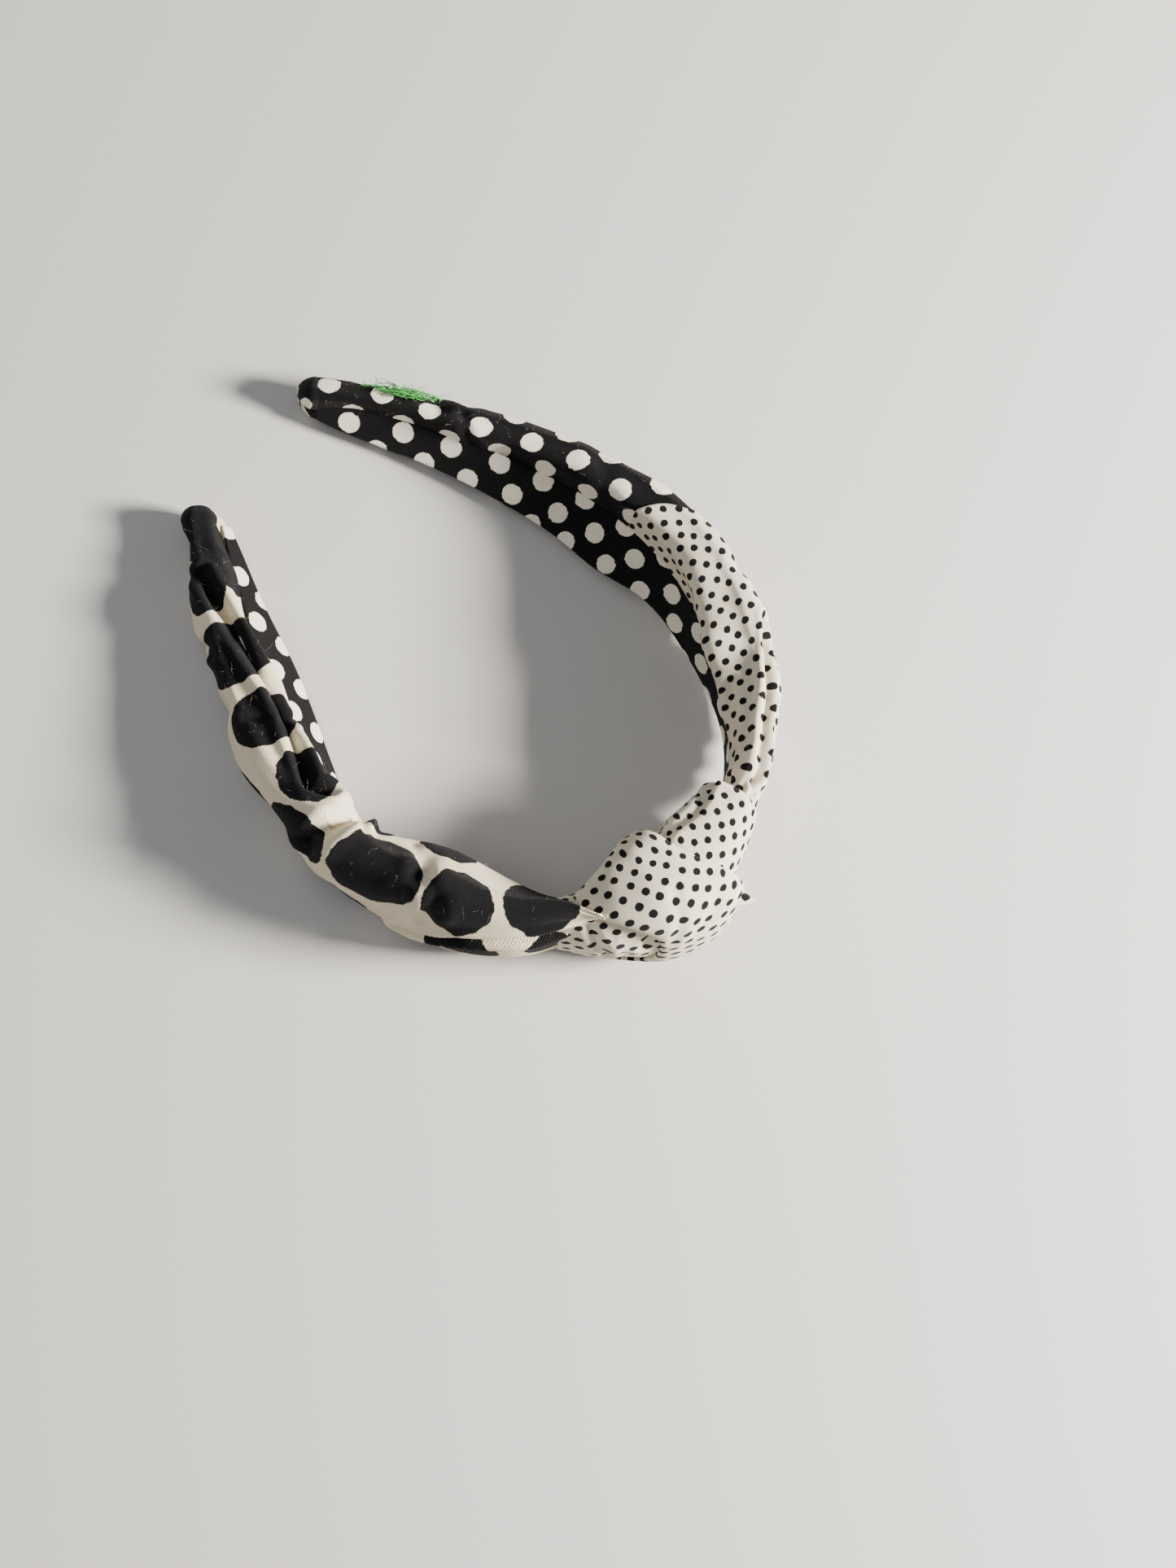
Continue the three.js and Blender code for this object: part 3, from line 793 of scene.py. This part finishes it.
def threads(name, lines, radius, sides, taper=0.6):
    """Bent tubes along lines, an array of threads by points by 3. Each ring is radius wide, times
    1 - taper at the far end, and the ends are closed."""
    count, steps = lines.shape[:2]
    tangent = np.gradient(lines, axis=1)
    tangent /= np.linalg.norm(tangent, axis=-1, keepdims=True)
    side = np.cross(tangent, (0.3, 0.2, 0.93))
    side /= np.linalg.norm(side, axis=-1, keepdims=True)
    other = np.cross(tangent, side)
    ring = np.linspace(0, 2 * np.pi, sides, endpoint=False)[:, None]
    wide = radius * np.linspace(1, 1 - taper, steps)[None, :, None, None]
    tubes = lines[:, :, None] + wide * (side[:, :, None] * np.cos(ring) + other[:, :, None] * np.sin(ring))
    first, i, j = np.meshgrid(np.arange(count), np.arange(steps - 1), np.arange(sides), indexing="ij")
    at = (first * steps + i) * sides
    turn = (j + 1) % sides
    quads = np.stack([at + j, at + turn, at + sides + turn, at + sides + j], -1).reshape(-1, 4)
    starts = np.arange(count)[:, None] * steps * sides + np.arange(sides)
    faces = quads.tolist() + starts[:, ::-1].tolist() + (starts + (steps - 1) * sides).tolist()
    piece = new_object(name, tubes, faces)
    face_out(piece)
    return piece


def thread_tuft(count):
    """Centre lines of the threads: a start on the cloth, a lean and a curl drawn at random."""
    draw = np.random.default_rng(77)
    t = np.linspace(0, 1, 12)[None, :]
    each = (count, 1)
    s0, out0 = draw.normal(166, 3.4, each), draw.normal(-0.6, 0.8, each)
    lean, curl, length = draw.normal(0, 0.45, each), draw.normal(0, 1.0, each), draw.uniform(3, 7, each)
    way = np.sign(draw.normal(0, 1, each))
    wave, lift = draw.uniform(0, 6, each), draw.uniform(0, 0.22, each)
    s = s0 + (length * t * np.cos(lean + curl * t) - length / 2) * way
    across = right_half(s) + 0.5 + 0.35 * np.sin(5 * t + wave) + lift * length * t
    return place(s, across, out0 + length * t * np.sin(lean + curl * t) * 0.6)


tuft = threads("green_thread_tuft", thread_tuft(120), 0.15 * MM, 6)
finish_piece(tuft, green.material)
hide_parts("thread_tuft")
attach(tuft, "right_arm")

# Loose fibres. Cotton lint stands off the cloth all over: hair-thin ends, 0.4 to 2 mm long.
lint = Finish("cotton_lint")
here = lint.node("ShaderNodeTexCoord", output=3)
lint_tint = lint.noise(here, 700, 2)
lint.set(Base_Color=lint.mix(lint_tint, (0.35, 0.32, 0.28, 1), (0.75, 0.70, 0.60, 1)),
         Roughness=0.6 + 0.2 * lint_tint, Normal=lint.bump(lint_tint, 0.00003))


def lint_on(name, arm, sizes, folds, span, count, seed):
    """Fibres that start on an arm's cloth and lean at random, with a slight curl."""
    draw = np.random.default_rng(seed)
    s, g, across, out = arm_surface(*span, *sizes, folds, 160, 90)
    if arm == "left_arm":
        across, out = left_gather(s, across, out)
    points = place(s, across, out)
    normal = np.cross(np.gradient(points, axis=1), np.gradient(points, axis=0))
    normal /= np.linalg.norm(normal, axis=-1, keepdims=True) + 1e-12
    row, column = draw.integers(2, 158, count), draw.integers(4, 74, count)
    root, away = points[row, column], normal[row, column]
    t = np.linspace(0, 1, 6)[None, :, None]
    lean = away + draw.normal(0, 0.9, (count, 3))
    lean /= np.linalg.norm(lean, axis=1, keepdims=True)
    lean = np.where((lean * away).sum(1, keepdims=True) < 0.1, away, lean)[:, None]
    curl = draw.normal(0, 0.5, (count, 1, 3))
    reach = MM * draw.uniform(0.4, 1.7, (count, 1, 1))
    lines = root[:, None] + reach * (t * lean + t ** 2 * curl)
    lines[..., 2] = np.maximum(lines[..., 2], TABLE)
    piece = threads(name, lines, 0.012 * MM, 3)
    piece.data.materials.append(lint.material)
    flex(piece, arm)


lint_on("lint_on_left_arm", "left_arm", LEFT_SIZES, left_folds, (-42, -TIP), 550, 11)
lint_on("lint_on_right_arm", "right_arm", RIGHT_SIZES, right_folds, (14, RIGHT_TIP - 6), 550, 12)

# Table and light. A plain pale floor under soft studio panels.
floor_mesh = bpy.data.meshes.new("floor")
floor_mesh.from_pydata([(-3, -3, 0), (3, -3, 0), (3, 3, 0), (-3, 3, 0)], [], [(0, 1, 2, 3)])
floor = bpy.data.objects.new("floor", floor_mesh)
floor.location.z = -0.0001
bpy.context.scene.collection.objects.link(floor)
paint = Finish("floor_paint")
paint.set(Base_Color=(0.50, 0.49, 0.48, 1), Roughness=0.7)
floor.data.materials.append(paint.material)


def panel(name, place_m, size, power, colour=(1, 1, 1)):
    light = bpy.data.lights.new(name, "AREA")
    light.shape = "SQUARE"
    light.size, light.energy, light.color = size, power, colour
    lamp = bpy.data.objects.new(name, light)
    lamp.location = place_m
    lamp.rotation_mode = "QUATERNION"
    lamp.rotation_quaternion = Vector(place_m).to_track_quat("Z", "Y")
    bpy.context.scene.collection.objects.link(lamp)


panel("key_panel", (0.5, -0.72, 0.5), 0.24, 56, (1, 0.95, 0.88))
panel("fill_panel", (-0.5, 0.5, 1.0), 1.2, 6, (0.95, 0.97, 1))
world = bpy.data.worlds.new("studio")
world.use_nodes = True
background = world.node_tree.nodes["Background"]
background.inputs["Color"].default_value = (1, 1, 1, 1)
background.inputs["Strength"].default_value = 0.2
bpy.context.scene.world = world
